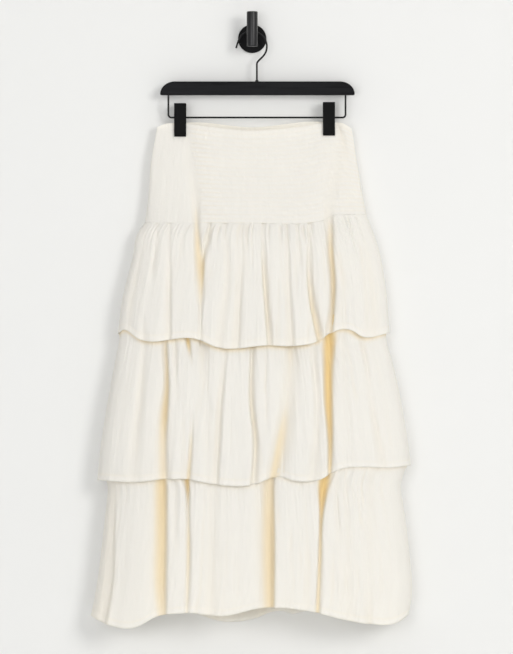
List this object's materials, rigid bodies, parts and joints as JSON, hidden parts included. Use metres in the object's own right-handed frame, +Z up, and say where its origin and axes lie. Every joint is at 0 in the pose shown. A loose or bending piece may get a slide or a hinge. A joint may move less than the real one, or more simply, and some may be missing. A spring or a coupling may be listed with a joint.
{
  "type": "tiered ruffle skirt on a clip hanger and wall hook",
  "caption": "Long cotton skirt with a shirred yoke and overlapping gathered tiers, clipped by its waist to a slim bar hanger that hangs on a round wall hook.",
  "frame": {"origin": "middle of the hook plate's back face, on the wall", "axes": "+Y out of the plate's back face into the wall, +Z up, +X to the right seen from the front; the skirt's front faces -Y"},
  "size_m": [0.5851, 0.1114, 1.1194],
  "materials": {
    "cloth": "crinkled cotton double gauze, cream, matt",
    "hanger_wood": "black stain, satin",
    "hanger_wire": "black, satin",
    "clip_plastic": "black, matt",
    "hook_metal": "black powder coat, satin"
  },
  "bodies": {
    "root": {"yoke_front": "cloth", "yoke_back": "cloth", "tier_1_front": "cloth", "tier_1_back": "cloth", "tier_2_front": "cloth", "tier_2_back": "cloth", "tier_3_front": "cloth", "tier_3_back": "cloth", "hanger_bar": "hanger_wood", "hanger_hook": "hanger_wire", "hanger_ferrule": "hanger_wire", "hanger_rail": "hanger_wire", "clip_left": "clip_plastic", "clip_right": "clip_plastic", "hook_plate": "hook_metal", "hook_peg": "hook_metal"}
  },
  "joints": []
}
